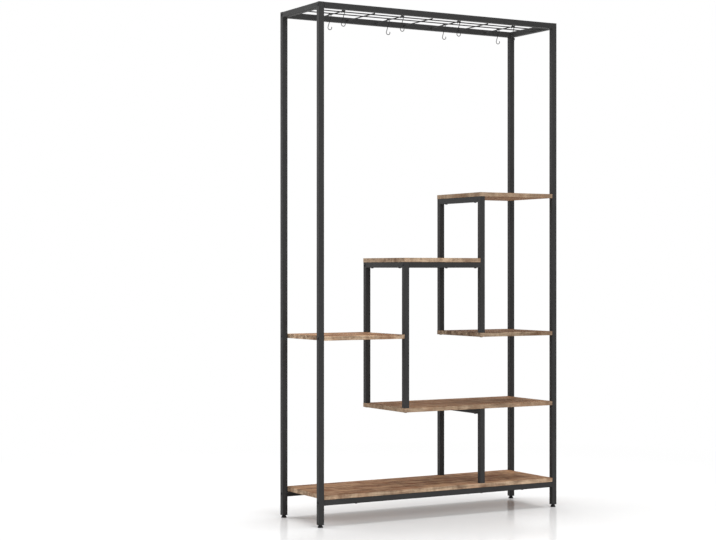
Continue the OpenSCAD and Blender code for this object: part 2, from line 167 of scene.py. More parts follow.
class StandSizes(PropertyGroup):
    """Sizes of the pieces that this file models."""

    hook_wire: distance("Hook wire", "Diameter of the hooks' wire", 2.5)
    hook_loop: distance("Hook loop", "Radius of a hook's upper loop, to its wire's middle", 6)
    hook_bowl: distance("Hook bowl", "Radius of a hook's lower bowl, to its wire's middle", 7.5)
    hook_height: distance("Hook height", "Height of a hook over its two bends", 59)
    hook_loop_turn: angle("Loop turn", "Turn of the loop, from the stem to its tip", 230)
    hook_bowl_turn: angle("Bowl turn", "Turn of the bowl, from the stem to its tip", 215)
    hook_gap: distance("Hook gap", "Air between a hook's loop and the wire it hangs on", 0.2)
    grid_wire: distance("Grid wire", "Diameter of the grid's wires", 4)
    weld_bead: distance("Weld bead", "Radius of the weld beads under the crossbars", 1.7)
    weld_seam: distance("Weld seam", "Radius of the weld seams beside the crossbars", 1.35)
    weld_ripple: distance("Weld ripple", "Spacing of the ripples along a weld bead", 1.2)
    bolt_shank: distance("Bolt shank", "Diameter of the bolts", 6)
    bolt_head: distance("Bolt head", "Diameter of the bolts' heads", 10.5)
    bolt_head_height: distance("Bolt head height", "Height of the bolts' heads", 2)
    bolt_key: distance("Bolt key", "Width of the hexagon key that turns a bolt", 4)
    bolt_pitch: distance("Bolt pitch", "Pitch of the bolts' thread", 1)
    bolt_thread: distance("Bolt thread", "Length of the thread at a bolt's tip", 11.5)
    screw_shank: distance("Screw shank", "Diameter of the board screws", 5)
    screw_head: distance("Screw head", "Diameter of the board screws' heads", 10)
    screw_head_height: distance("Screw head height", "Height of the screws' heads", 2.5)
    screw_key: distance("Screw key", "Width of the hexagon key that turns a screw", 3)
    screw_pitch: distance("Screw pitch", "Pitch of the board screws' thread", 2)
    screw_thread: distance("Screw thread", "Length of the thread at a screw's tip", 14)
    foot_stem: distance("Foot stem", "Diameter of the feet's threaded stems", 8)
    foot_pitch: distance("Foot pitch", "Pitch of the feet's thread", 1.25)
    foot_flutes: IntProperty(
        name="Foot flutes", description="Grip flutes round a foot's pad", default=12, min=6)


class StandColours(PropertyGroup):
    """Colours of the finishes, as linear light."""

    coat: colour("Powder coat", "Black powder coat of the tubes", (0.0325, 0.0322, 0.032))
    coat_worn: colour("Worn coat", "Powder coat where an edge is rubbed", (0.053, 0.053, 0.053))
    wire: colour("Wire coat", "Black coat of the hanging grid", (0.020, 0.020, 0.020))
    oxide: colour("Black oxide", "Bolts and screws", (0.022, 0.022, 0.024))
    hook: colour("Hook coat", "Thin black coat of the hooks", (0.018, 0.018, 0.018))
    zinc: colour("Zinc", "Threaded plugs inside the tubes", (0.62, 0.63, 0.66))
    brass: colour("Brass", "Threaded inserts in the boards", (0.72, 0.52, 0.22))
    plastic: colour("Black plastic", "Feet, leg plugs and caps", (0.009, 0.009, 0.009))
    wood_dark: colour("Dark grain", "Dark streaks of the boards", (0.092, 0.042, 0.022))
    wood_mid: colour("Middle grain", "Middle tone of the boards", (0.185, 0.087, 0.043))
    wood_light: colour("Light grain", "Light bands of the boards", (0.640, 0.378, 0.207))
    wood_red: colour("Red patch", "Warm patches of the boards", (0.360, 0.155, 0.071))
    # Edge band: partly a paler print on the narrow faces, partly painted light that makes every
    # upright face of a board lighter than its top and underside
    edge_print_and_painted_light: FloatVectorProperty(
        name="Edge band", size=3, min=0.0, default=(1.24, 1.57, 1.97),
        description="How much paler the narrow faces' print is, in red, green and blue")
    floor: colour("Floor", "Studio floor", (0.86, 0.86, 0.86))


class StandStudio(PropertyGroup):
    """Camera, lamps and the floor's gloss."""

    camera_place: FloatVectorProperty(
        name="Camera", description="Where the camera stands", size=3, subtype="TRANSLATION",
        unit="LENGTH", precision=4, default=(-3.18288, -5.27809, 0.8839))
    camera_turn: angle("Camera turn", "Turn to the right of the depth direction", 31.518)
    lens: number("Lens", "Focal length in millimetres", 84.69, min=10.0)
    shift_x: number("Shift X", "Sideways shift of the lens", -0.1061)
    shift_y: number("Shift Y", "Upward shift of the lens", 0.0005)
    ambient: number("Ambient", "Strength of the light from all round", 0.36, min=0.0)
    front: power("Front lamp", "Power of the lamp at the front", 102.0)
    rim: power("Rim lamp", "Power of the lamp behind at the left", 43.0)
    top: power("Top lamp", "Power of the lamp overhead", 310.0)
    floor_gloss: portion("Floor gloss", "Share of gloss in the floor's finish", 0.20)
    floor_blur: portion("Floor blur", "Roughness of the floor's gloss", 0.13)


# Nodes


def feed(tree, node, inputs):
    """Sets a node's inputs, each to a value or to an output socket that is linked to it."""
    for name, value in inputs.items():
        socket = node.inputs[name]
        if isinstance(value, bpy.types.NodeSocket):
            tree.links.new(value, socket)
        else:
            socket.default_value = value


def put(tree, kind, inputs=None, **settings):
    """Adds a node with its settings and inputs."""
    node = tree.nodes.new(kind)
    for name, value in settings.items():
        setattr(node, name, value)
    feed(tree, node, inputs or {})
    return node


def maths(tree, operation, a, b=0.0):
    return put(tree, "ShaderNodeMath", {0: a, 1: b}, operation=operation).outputs[0]


def vector_maths(tree, operation, a, b):
    return put(tree, "ShaderNodeVectorMath", {0: a, 1: b}, operation=operation).outputs[0]


def span(tree, value, low, high, to_low=0.0, to_high=1.0):
    """Maps low..high of a value to to_low..to_high, and keeps it there."""
    return put(tree, "ShaderNodeMapRange", {
        "Value": value, "From Min": low, "From Max": high, "To Min": to_low,
        "To Max": to_high}).outputs["Result"]


def summed(tree, *parts):
    """The sum of some values, each times its weight."""
    total = None
    for value, weight in reversed(parts):
        part = maths(tree, "MULTIPLY", value, weight)
        total = part if total is None else maths(tree, "ADD", part, total)
    return total


def mixed(tree, factor, a, b, blend="MIX"):
    """Mixes two colours."""
    return put(tree, "ShaderNodeMix", {0: factor, 6: a, 7: b}, data_type="RGBA",
               blend_type=blend).outputs[2]


def mixed_shader(tree, factor, a, b):
    """Mixes the shaders of two nodes."""
    return put(tree, "ShaderNodeMixShader", {0: factor, 1: a.outputs[0], 2: b.outputs[0]})


def rgba(tint, factor=1.0):
    """A colour's four numbers, its light multiplied by a factor."""
    return (tint[0] * factor, tint[1] * factor, tint[2] * factor, 1.0)


def rubbed(tint, factor):
    """A colour as it is on a rubbed edge: lighter by a factor, and no lighter than white."""
    return [min(1.0, c * factor) for c in tint]


def laid_over(tree, base, mask, strength, tint, factor=1.0):
    """Lays a colour over another where a mask shows it."""
    return mixed(tree, maths(tree, "MULTIPLY", mask, strength), base, rgba(tint, factor))


def noise(tree, vector, scale, detail=2.0, roughness=0.5, output="Fac"):
    return put(tree, "ShaderNodeTexNoise", {
        "Vector": vector, "Scale": scale, "Detail": detail,
        "Roughness": roughness}).outputs[output]


def drawn_out(tree, vector, pattern):
    """The coordinates scaled for one pattern of the wood print, which runs along X."""
    along, across = GRAIN[pattern]
    return vector_maths(tree, "MULTIPLY", vector, (along, across, across))


def grain_noise(tree, vector, pattern, detail=2.0, roughness=0.5, output="Fac"):
    return noise(tree, drawn_out(tree, vector, pattern), 1.0, detail, roughness, output)


def upward(tree):
    """The height part of the way a face looks: 1 on a top, 0 on a side."""
    normal = put(tree, "ShaderNodeNewGeometry").outputs["Normal"]
    return put(tree, "ShaderNodeSeparateXYZ", {0: normal}).outputs["Z"]


def bumped(tree, height, strength, depth):
    """The way a face looks once a height is pressed into it."""
    return put(tree, "ShaderNodeBump", {"Height": height, "Strength": strength,
                                        "Distance": depth}).outputs[0]


def seen_itself(tree):
    """1 where a surface is seen by the camera, in gloss or through glass, and 0 where it
    only lights others."""
    path = put(tree, "ShaderNodeLightPath").outputs
    seen = maths(tree, "MAXIMUM", path["Is Camera Ray"], path["Is Glossy Ray"])
    return maths(tree, "MAXIMUM", seen, path["Is Transmission Ray"])


def make_group(name, inputs, outputs):
    """A shader node group with named sockets, its outputs all plain values; returns its tree,
    what it is given and its result node."""
    tree = bpy.data.node_groups.new(name, "ShaderNodeTree")
    tree.interface.new_socket("Vector", in_out="INPUT", socket_type="NodeSocketVector")
    for label, default in inputs.items():
        socket = tree.interface.new_socket(label, in_out="INPUT", socket_type="NodeSocketFloat")
        socket.default_value = default
    for label in outputs:
        tree.interface.new_socket(label, in_out="OUTPUT", socket_type="NodeSocketFloat")
    return tree, tree.nodes.new("NodeGroupInput").outputs, tree.nodes.new("NodeGroupOutput")


def edge_wear_group():
    """A mask that is 1 on rubbed edges and 0 on flat faces, broken up by noise."""
    tree, given, result = make_group("Edge wear", {"Radius": 0.002, "Breakup": 60.0}, ["Mask"])
    soft = put(tree, "ShaderNodeBevel", {"Radius": given["Radius"]}, samples=4).outputs[0]
    face = put(tree, "ShaderNodeNewGeometry").outputs["Normal"]
    facing = put(tree, "ShaderNodeVectorMath", {0: soft, 1: face},
                 operation="DOT_PRODUCT").outputs["Value"]
    edge = span(tree, facing, 0.99, 0.82)
    patchy = span(tree, noise(tree, given["Vector"], given["Breakup"], 4.0, 0.65), 0.42, 0.62)
    feed(tree, result, {"Mask": maths(tree, "MULTIPLY", edge, patchy)})


def peel_group():
    """The fine texture of a baked powder coat, and the slow change of its gloss."""
    tree, given, result = make_group("Powder texture", {"Scale": 700.0},
                                     ["Height", "Gloss", "Tone"])
    vector = given["Vector"]
    fine = noise(tree, vector, given["Scale"], 3.0, 0.6)
    coarse = noise(tree, vector, 190.0)
    slow = noise(tree, vector, 9.0, 4.0, 0.6)
    speck = noise(tree, vector, 1400.0, 1.0)
    feed(tree, result, {
        "Height": summed(tree, (fine, 0.7), (coarse, 0.5)),
        "Gloss": span(tree, slow, 0.3, 0.7),
        "Tone": span(tree, summed(tree, (speck, 0.6), (slow, 0.4)), 0.3, 0.7)})


def dust_group():
    """A faint mask on faces that look up, where dust settles."""
    tree, given, result = make_group("Settled dust", {}, ["Mask"])
    specks = span(tree, noise(tree, given["Vector"], 35.0, 5.0, 0.7), 0.35, 0.75)
    flat = span(tree, upward(tree), 0.5, 0.95)
    feed(tree, result, {"Mask": maths(tree, "MULTIPLY", flat, specks)})


def grain_group():
    """Rustic wood print that runs along X: tone, dark streaks, warm patches and relief."""
    tree, given, result = make_group("Rustic grain", {},
                                     ["Tone", "Streaks", "Patches", "Pores", "Height"])
    vector = given["Vector"]
    # The grain wanders by a few millimetres over a hand's width
    wander = vector_maths(tree, "SUBTRACT", grain_noise(tree, vector, "wander", output="Color"),
                          (0.5, 0.5, 0.5))
    bent = vector_maths(tree, "ADD", vector, vector_maths(tree, "MULTIPLY", wander, GRAIN_SWAY))
    bands = grain_noise(tree, bent, "bands", 5.0, 0.62)
    fibres = grain_noise(tree, bent, "fibres", 3.0, 0.6)
    blotches = grain_noise(tree, vector, "blotches", 3.0, 0.6)
    # Short marks across the grain, as a coarse saw leaves them
    chatter = grain_noise(tree, vector, "chatter", 3.0, 0.6)
    tone = summed(tree, (bands, 0.36), (fibres, 0.12), (blotches, 0.34), (chatter, 0.18))
    streaks = span(tree, grain_noise(tree, bent, "streaks", 4.0, 0.6), 0.52, 0.66)
    # A knot is the middle of a cell, in the few cells whose random red is high
    cells = put(tree, "ShaderNodeTexVoronoi", {
        "Vector": drawn_out(tree, bent, "knots"), "Scale": 1.0, "Randomness": 1.0}).outputs
    red = put(tree, "ShaderNodeSeparateColor", {0: cells["Color"]}).outputs[0]
    knots = maths(tree, "MULTIPLY", span(tree, cells["Distance"], 0.24, 0.06),
                  span(tree, red, 0.72, 0.76))
    # Thin lines a few millimetres apart, which run through light and dark alike
    lines = span(tree, grain_noise(tree, bent, "lines", 3.0, 0.55), 0.52, 0.62, 0.0, 0.55)
    dark = maths(tree, "MAXIMUM", maths(tree, "MAXIMUM", streaks, knots), lines)
    pores = span(tree, grain_noise(tree, bent, "pores"), 0.60, 0.70)
    feed(tree, result, {
        "Tone": span(tree, tone, 0.44, 0.56),
        "Streaks": dark,
        "Patches": span(tree, grain_noise(tree, vector, "patches"), 0.46, 0.68),
        "Pores": pores,
        "Height": summed(tree, (fibres, 1.0), (pores, -0.5), (dark, -0.4))})


def drawn_group():
    """Fine draw marks and tarnish of bare metal."""
    tree, given, result = make_group("Metal marks", {"Scale": 400.0}, ["Marks", "Tarnish"])
    marks = noise(tree, given["Vector"], given["Scale"], 4.0, 0.7)
    slow = noise(tree, given["Vector"], 45.0, 4.0, 0.6)
    feed(tree, result, {"Marks": span(tree, marks, 0.25, 0.75),
                        "Tarnish": span(tree, slow, 0.35, 0.7)})


def use_group(tree, name, **inputs):
    """Places a node group in a material; returns its outputs."""
    return put(tree, "ShaderNodeGroup", inputs, node_tree=bpy.data.node_groups[name]).outputs


def empty_tree(owner):
    """The node tree of a material or a world, with nothing in it."""
    owner.use_nodes = True
    owner.node_tree.nodes.clear()
    return owner.node_tree


def start_material(name):
    """A material with a plain Principled shader; returns its tree, shader and coordinates."""
    tree = empty_tree(bpy.data.materials.new(name))
    shader = put(tree, "ShaderNodeBsdfPrincipled")
    put(tree, "ShaderNodeOutputMaterial", {"Surface": shader.outputs[0]})
    return tree, shader, put(tree, "ShaderNodeTexCoord").outputs["Object"]


def painted(name, coat, worn, roughness, texture, wear_radius):
    """Black baked coat with a fine texture, rubbed edges and a little dust."""
    tree, shader, place = start_material(name)
    peel = use_group(tree, "Powder texture", Vector=place, Scale=texture)
    wear = use_group(tree, "Edge wear", Vector=place, Radius=wear_radius, Breakup=55.0)["Mask"]
    dust = use_group(tree, "Settled dust", Vector=place)["Mask"]
    base = mixed(tree, peel["Tone"], rgba(coat, 0.72), rgba(coat, 1.30))
    base = laid_over(tree, base, wear, 0.5, worn)
    base = laid_over(tree, base, dust, 0.05, DUST_ON_COAT)
    rough = span(tree, peel["Gloss"], 0.0, 1.0, roughness - 0.06, roughness + 0.08)
    feed(tree, shader, {
        "Base Color": base,
        "Roughness": maths(tree, "SUBTRACT", rough, maths(tree, "MULTIPLY", wear, 0.06)),
        "Specular IOR Level": 0.12,
        "Normal": bumped(tree, peel["Height"], 0.35, 0.25 * MM)})


def metal(name, tint, roughness, scale, tarnish):
    """Bare or plated metal with draw marks and a slow tarnish."""
    tree, shader, place = start_material(name)
    marks = use_group(tree, "Metal marks", Vector=place, Scale=scale)
    wear = use_group(tree, "Edge wear", Vector=place, Radius=0.5 * MM, Breakup=300.0)["Mask"]
    base = mixed(tree, marks["Tarnish"], rgba(tint), rgba(tint, tarnish))
    feed(tree, shader, {
        "Base Color": laid_over(tree, base, wear, 0.5, rubbed(tint, 1.25)),
        "Metallic": 1.0,
        "Roughness": span(tree, marks["Marks"], 0.0, 1.0, roughness - 0.08, roughness + 0.12),
        "Normal": bumped(tree, marks["Marks"], 0.2, 0.08 * MM)})


def moulded(name, tint):
    """Black moulded plastic with a fine spark texture."""
    tree, shader, place = start_material(name)
    peel = use_group(tree, "Powder texture", Vector=place, Scale=1100.0)
    dust = use_group(tree, "Settled dust", Vector=place)["Mask"]
    base = mixed(tree, peel["Tone"], rgba(tint, 0.8), rgba(tint, 1.4))
    feed(tree, shader, {
        "Base Color": laid_over(tree, base, dust, 0.08, DUST_ON_PLASTIC),
        "Roughness": span(tree, peel["Gloss"], 0.0, 1.0, 0.42, 0.58),
        "Specular IOR Level": 0.15,
        "Normal": bumped(tree, peel["Height"], 0.3, 0.15 * MM)})


def board_finish(name, shade, contrast, shift, colours):
    """Rustic brown wood print of one board, its pattern shifted from the other boards'."""
    tree, shader, place = start_material(name)
    moved = put(tree, "ShaderNodeMapping", {"Vector": place, "Location": shift}).outputs[0]
    grain = use_group(tree, "Rustic grain", Vector=moved)
    wear = use_group(tree, "Edge wear", Vector=moved, Radius=1.2 * MM, Breakup=90.0)["Mask"]
    dust = use_group(tree, "Settled dust", Vector=moved)["Mask"]
    mean = [(a + b) / 2 for a, b in zip(colours.wood_mid, colours.wood_light)]
    mid = [shade * (m + contrast * (c - m)) for c, m in zip(colours.wood_mid, mean)]
    light = [shade * (m + contrast * (c - m)) for c, m in zip(colours.wood_light, mean)]
    base = mixed(tree, grain["Tone"], rgba(mid), rgba(light))
    base = laid_over(tree, base, grain["Patches"], 0.55, colours.wood_red, shade)
    base = laid_over(tree, base, grain["Streaks"], 0.70 * contrast, colours.wood_dark, shade)
    base = laid_over(tree, base, grain["Pores"], 0.35, colours.wood_dark, 0.6 * shade)
    # Upright faces are multiplied by the edge band: partly their paler print, partly painted
    # light that makes them brighter than the tops and undersides
    side = span(tree, maths(tree, "ABSOLUTE", upward(tree)), 0.7, 0.3)
    base = mixed(tree, side, base, rgba(colours.edge_print_and_painted_light), "MULTIPLY")
    base = laid_over(tree, base, wear, 0.4, rubbed(light, 1.15))
    rough = span(tree, grain["Tone"], 0.0, 1.0, 0.78, 0.62)
    feed(tree, shader, {
        "Base Color": laid_over(tree, base, dust, 0.04, DUST_ON_WOOD),
        "Roughness": maths(tree, "ADD", rough, maths(tree, "MULTIPLY", grain["Pores"], 0.15)),
        "Specular IOR Level": 0.06,
        "Normal": bumped(tree, grain["Height"], 0.45, 0.3 * MM)})


# Mesh helpers


def mesh_from(bm, name):
    """Turns a bmesh into a mesh; the bmesh is freed."""
    mesh = bpy.data.meshes.new(name)
    bm.to_mesh(mesh)
    bm.free()
    return mesh


def new_object(name, data):
    """An object at the origin, in the scene."""
    made = bpy.data.objects.new(name, data)
    bpy.context.scene.collection.objects.link(made)
    return made


def new_piece(name, bm, finish, body, sharp=32.0):
    """Makes a finished mesh a piece of the stand: smooth, with its hard edges kept."""
    bmesh.ops.recalc_face_normals(bm, faces=bm.faces)
    for face in bm.faces:
        face.smooth = True
    mesh = mesh_from(bm, name)
    mesh.set_sharp_from_angle(angle=math.radians(sharp))
    mesh.materials.append(bpy.data.materials[finish])
    piece = new_object(name, mesh)
    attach(piece, body)
    return piece


def dress(nodes, finish):
    """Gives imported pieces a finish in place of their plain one."""
    for node in nodes:
        slots = frame["nodes"][node].data.materials
        if not slots:
            slots.append(bpy.data.materials[finish])
        for i in range(len(slots)):
            slots[i] = bpy.data.materials[finish]


def joint_place(node):
    """Where the joint of a moving piece is, at rest."""
    return next(Vector(joint["pos_m"]) for joint in frame["joints"] if joint["child"] == node)


def pointing(place, way):
    """The matrix that takes the origin to a place and +Z to a direction."""
    turn = Vector((0, 0, 1)).rotation_difference(way).to_matrix().to_4x4()
    return Matrix.Translation(place) @ turn


def verts_of(geometry):
    return [g for g in geometry if isinstance(g, bmesh.types.BMVert)]


def edges_of(geometry):
    return [g for g in geometry if isinstance(g, bmesh.types.BMEdge)]


def ring(bm, radius, segments, matrix):
    """A circle of edges about Z, placed by a matrix."""
    made = bmesh.ops.create_circle(bm, cap_ends=False, radius=radius, segments=segments,
                                   matrix=matrix)["verts"]
    bm.edges.index_update()
    return sorted({e for v in made for e in v.link_edges}, key=lambda e: e.index)


def ring_centre(edges):
    verts = {v for e in edges for v in e.verts}
    return sum((v.co for v in verts), Vector()) / len(verts)


def edge_height(edge):
    return (edge.verts[0].co.z + edge.verts[1].co.z) / 2


def pull(bm, edges, step, size=1.0):
    """Extrudes a ring of edges by a step, and scales the new ring about its middle."""
    made = bmesh.ops.extrude_edge_only(bm, edges=edges)["geom"]
    verts = verts_of(made)
    bmesh.ops.translate(bm, verts=verts, vec=step)
    fresh = set(verts)
    rim = [e for e in edges_of(made) if all(v in fresh for v in e.verts)]
    if size != 1.0:
        bmesh.ops.scale(bm, verts=verts, vec=(size, size, size),
                        space=Matrix.Translation(-ring_centre(rim)))
    return rim


def dome(bm, edges, direction, depth, steps=5):
    """Closes a ring with a round tip of a given depth."""
    direction = direction.normalized()
    angles = [math.pi / 2 * k / (steps + 0.35) for k in range(steps + 1)]
    for a, b in zip(angles, angles[1:]):
        edges = pull(bm, edges, direction * depth * (math.sin(b) - math.sin(a)),
                     math.cos(b) / math.cos(a))
    bmesh.ops.edgeloop_fill(bm, edges=edges)


def turned(bm, profile, segments):
    """Turns a profile of (radius, height) points about Z; its ends may lie on the axis."""
    verts = [bm.verts.new((r, 0.0, z)) for r, z in profile]
    edges = [bm.edges.new(pair) for pair in zip(verts, verts[1:])]
    bmesh.ops.spin(bm, geom=verts + edges, cent=(0, 0, 0), axis=(0, 0, 1), dvec=(0, 0, 0),
                   angle=math.tau, steps=segments, use_merge=True, use_duplicate=False)
    bmesh.ops.remove_doubles(bm, verts=bm.verts, dist=1e-7)


def helix(bm, core, crest, pitch, low, high, per_turn=20):
    """A raised thread round Z from low to high, as one closed ridge with flat ends."""
    turns = (high - low - pitch) / pitch
    steps = max(2, round(turns * per_turn))
    half = 0.46 * pitch
    sunk = core - 0.12 * pitch
    corners = [(sunk, 0.0), (core, 0.03 * pitch), (crest, half * 0.9), (crest, half * 1.1),
               (core, half * 1.95), (sunk, half * 2.0)]
    verts = [bm.verts.new((r, 0.0, low + z)) for r, z in corners]
    edges = [bm.edges.new((a, b)) for a, b in zip(verts, verts[1:] + verts[:1])]
    first = bmesh.ops.edgeloop_fill(bm, edges=edges)["faces"]
    rise = turns * pitch
    bmesh.ops.spin(bm, geom=first, cent=(0, 0, 0), axis=(0, 0, 1),
                   dvec=(0, 0, rise / steps), angle=math.tau * turns, steps=steps,
                   use_merge=False, use_duplicate=True)


def add_copy(bm, mesh, matrix):
    """Adds a copy of a mesh, placed by a matrix."""
    before = len(bm.verts)
    bm.from_mesh(mesh)
    bm.verts.ensure_lookup_table()
    bmesh.ops.transform(bm, matrix=matrix, verts=bm.verts[before:])


def add_copies(bm, template, matrices):
    """Adds a copy of a template at every place; the template is freed."""
    mesh = mesh_from(template, "template")
    for matrix in matrices:
        add_copy(bm, mesh, matrix)
    bpy.data.meshes.remove(mesh)


def islands(node):
    """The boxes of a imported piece's separate solids, each as its lowest and highest corner."""
    bm = bmesh.new()
    bm.from_mesh(frame["nodes"][node].data)
    bmesh.ops.remove_doubles(bm, verts=bm.verts, dist=1e-6)
    left, boxes = set(bm.verts), []
    while left:
        # The list of a solid's corners grows while it is gone through
        found = [left.pop()]
        for corner in found:
            for edge in corner.link_edges:
                other = edge.other_vert(corner)
                if other in left:
                    left.remove(other)
                    found.append(other)
        boxes.append((Vector([min(v.co[i] for v in found) for i in range(3)]),
                      Vector([max(v.co[i] for v in found) for i in range(3)])))
    bm.free()
    return sorted(boxes, key=lambda box: tuple(round(c, 5) for c in box[0]))


# Operators


class STAND_OT_mix_finishes(Operator):
    """Make every finish of the stand, from the shared node groups"""

    bl_idname = "stand.mix_finishes"
    bl_label = "Mix the finishes"

    def execute(self, context):
        colours = context.scene.stand_colours
        for make in (edge_wear_group, peel_group, dust_group, grain_group, drawn_group):
            make()
        painted("powder_coat", colours.coat, colours.coat_worn, 0.52, 700.0, 2.2 * MM)
        painted("wire_coat", colours.wire, colours.coat_worn, 0.40, 900.0, 0.6 * MM)
        painted("hook_coat", colours.hook, colours.coat_worn, 0.38, 1100.0, 0.4 * MM)
        metal("zinc_plate", colours.zinc, 0.36, 350.0, 0.8)
        metal("turned_brass", colours.brass, 0.30, 300.0, 0.75)
        metal("black_oxide", colours.oxide, 0.36, 500.0, 0.7)
        moulded("moulded_plastic", colours.plastic)
        for board, (shade, contrast, shift) in BOARDS.items():
            board_finish(f"wood_{board}", shade, contrast, shift, colours)
        return {"FINISHED"}


class STAND_OT_coat_frame(Operator):
    """Powder-coat the tubes, and finish the plugs, caps and inserts"""

    bl_idname = "stand.coat_frame"
    bl_label = "Coat the frame"

    def execute(self, context):
        dress(TUBES, "powder_coat")
        dress(["leg_plugs", "post_caps"], "moulded_plastic")
        dress(["rail_plugs", "post_plugs"], "zinc_plate")
        dress(["board_inserts"], "turned_brass")
        return {"FINISHED"}


class STAND_OT_finish_boards(Operator):
    """Give each board its own stretch of rustic grain"""

    bl_idname = "stand.finish_boards"
    bl_label = "Finish the boards"

    def execute(self, context):
        for board in BOARDS:
            dress([board], f"wood_{board}")
        return {"FINISHED"}


def hook_form(sizes):
    """The hook's stem length and lean, so that it hangs with its weight under its loop."""
    loop, bowl = sizes.hook_loop, sizes.hook_bowl
    bend_drop = sizes.hook_height - sizes.hook_wire - bowl - loop
    stem = math.sqrt(bend_drop ** 2 - (bowl + loop) ** 2)

    def arc(x, z, r, start, turn):
        return (r * turn, x + r * (math.sin(start + turn) - math.sin(start)) / turn,
                z + r * (math.cos(start) - math.cos(start + turn)) / turn)

    parts = [arc(0.0, 0.0, loop, 0.0, sizes.hook_loop_turn),
             arc(loop + bowl, -stem, bowl, math.pi, sizes.hook_bowl_turn),
             (stem, loop, -stem / 2)]
    moment_x = sum(length * x for length, x, z in parts)
    moment_z = sum(length * z for length, x, z in parts)
    return stem, math.atan2(moment_x, -moment_z)


def bend_on(bm, edges, centre, turn, tip_angle, steps, wire):
    """Bends a hook's wire on from a ring about a centre, and rounds its tip there."""
    bend = bmesh.ops.spin(bm, geom=edges, cent=centre, axis=(0, -1, 0), dvec=(0, 0, 0),
                          angle=turn, steps=steps, use_merge=False, use_duplicate=False)
    tip_way = Vector((-math.sin(tip_angle), 0, math.cos(tip_angle)))
    dome(bm, edges_of(bend["geom_last"]), tip_way, wire / 2)


def bent_hook(sizes, stem):
    """One S-hook about its loop's middle, its stem straight down: loop, stem and bowl."""
    loop, bowl, wire = sizes.hook_loop, sizes.hook_bowl, sizes.hook_wire
    loop_turn, bowl_turn = sizes.hook_loop_turn, sizes.hook_bowl_turn
    stem_steps = 8
    bm = bmesh.new()
    start = ring(bm, wire / 2, 20, Matrix.Translation((loop, 0, 0)))
    bend_on(bm, start, (0, 0, 0), loop_turn, loop_turn, 34, wire)
    lower = start
    for _ in range(stem_steps):
        lower = pull(bm, lower, Vector((0, 0, -stem / stem_steps)))
    bend_on(bm, lower, (loop + bowl, 0, -stem), bowl_turn, bowl_turn + math.pi, 44, wire)
    return bm


class STAND_OT_bend_hooks(Operator):
    """Bend the eight S-hooks from one wire each, with rounded tips"""

    bl_idname = "stand.bend_hooks"
    bl_label = "Bend the hooks"

    def execute(self, context):
        sizes = context.scene.stand_sizes
        stem, lean = hook_form(sizes)
        drop = sizes.hook_loop - sizes.hook_wire / 2 - sizes.grid_wire / 2 - sizes.hook_gap
        form = mesh_from(bent_hook(sizes, stem), "hook_form")
        for node in HOOKS:
            place = joint_place(node) - Vector((0, 0, drop))
            bm = bmesh.new()
            add_copy(bm, form, Matrix.Translation(place) @ Matrix.Rotation(lean, 4, "Y"))
            piece = new_piece(f"bent_{node}", bm, "hook_coat", node)
            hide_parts(node)
        bpy.data.meshes.remove(form)
        return {"FINISHED"}


def foot_profile(base, stem, core, pad_top, top):
    """The outline of a foot from its sole to its stem's tip, as (radius, height) points."""
    # The sole is a ring round a shallow hollow, and the pad's side ends under a shoulder
    hollow, sole, chamfer = 0.6 * MM, 2.6 * MM, 0.5 * MM
    shoulder, rim_edge = PAD_SHOULDER * MM, 0.4 * MM
    neck, stem_chamfer = 0.6 * MM, 0.8 * MM
    side = [(base - inset * MM, share * pad_top) for inset, share in PAD_SIDE]
    return [
        (0.0, hollow), (base - sole - hollow, hollow), (base - sole, 0.0),
        (base - chamfer, 0.0), (base, chamfer), *side,
        (base - shoulder, pad_top - rim_edge), (base - shoulder - rim_edge, pad_top),
        (stem + 0.2 * MM, pad_top), (core, pad_top + neck),
        (core, top - stem_chamfer), (core - stem_chamfer, top), (0.0, top)]


class STAND_OT_turn_feet(Operator):
    """Make the four levelling feet: a fluted pad under a threaded stem"""

    bl_idname = "stand.turn_feet"
    bl_label = "Make the feet"

    def execute(self, context):
        sizes = context.scene.stand_sizes
        pad_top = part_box("leg_plugs")[0].z - 0.2 * MM
        stem = sizes.foot_stem / 2
        core = stem - 0.55 * sizes.foot_pitch
        columns = 4 * sizes.foot_flutes
        flute_low, flute_high, drawn_in = 1.0 * MM, 0.9 * pad_top, 0.93
        for node in FEET:
            low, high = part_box(node)
            middle = (low + high) / 2
            base = (high.x - low.x) / 2
            bm = bmesh.new()
            turned(bm, foot_profile(base, stem, core, pad_top, high.z), columns)
            # Every fourth column of the pad's side is drawn in, which leaves a flute there
            inmost = base - (PAD_SHOULDER + 0.3) * MM
            side = [v for v in bm.verts if flute_low < v.co.z < flute_high
                    and v.co.to_2d().length > inmost]
            flutes = [v for v in side
                      if round(math.atan2(v.co.y, v.co.x) / math.tau * columns) % 4 == 0]
            bmesh.ops.scale(bm, verts=flutes, vec=(drawn_in, drawn_in, 1.0))
            helix(bm, core, stem, sizes.foot_pitch, pad_top + 0.8 * MM, high.z - 0.6 * MM, 24)
            bmesh.ops.translate(bm, verts=bm.verts, vec=(middle.x, middle.y, 0.0))
            piece = new_piece(f"threaded_{node}", bm, "moulded_plastic", node)
            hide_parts(node)
        return {"FINISHED"}


def fastener_places(node, head):
    """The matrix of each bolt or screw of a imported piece, with +Z along its shank and its
    seat at the origin, and its length under the head. Heads are outside the outer posts,
    below on upright ones, and beside the inner posts away from the rail or board that the
    bolt enters."""
    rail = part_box("centre_rail_front")[0]
    places = []
    for low, high in islands(node):
        size, middle = high - low, (low + high) / 2
        if size.z > size.x:
            places.append((Matrix.Translation((middle.x, middle.y, low.z + head)),
                           size.z - head))
            continue
        into_rail_end = middle.x < rail.x and middle.z > rail.z
        heads_left = node == "left_bolts" or (node == "inner_bolts" and into_rail_end)
        x = low.x + head if heads_left else high.x - head
        turn = Matrix.Rotation(math.pi / 2 if heads_left else -math.pi / 2, 4, "Y")
        places.append((Matrix.Translation((x, middle.y, middle.z)) @ turn, size.x - head))
    return places


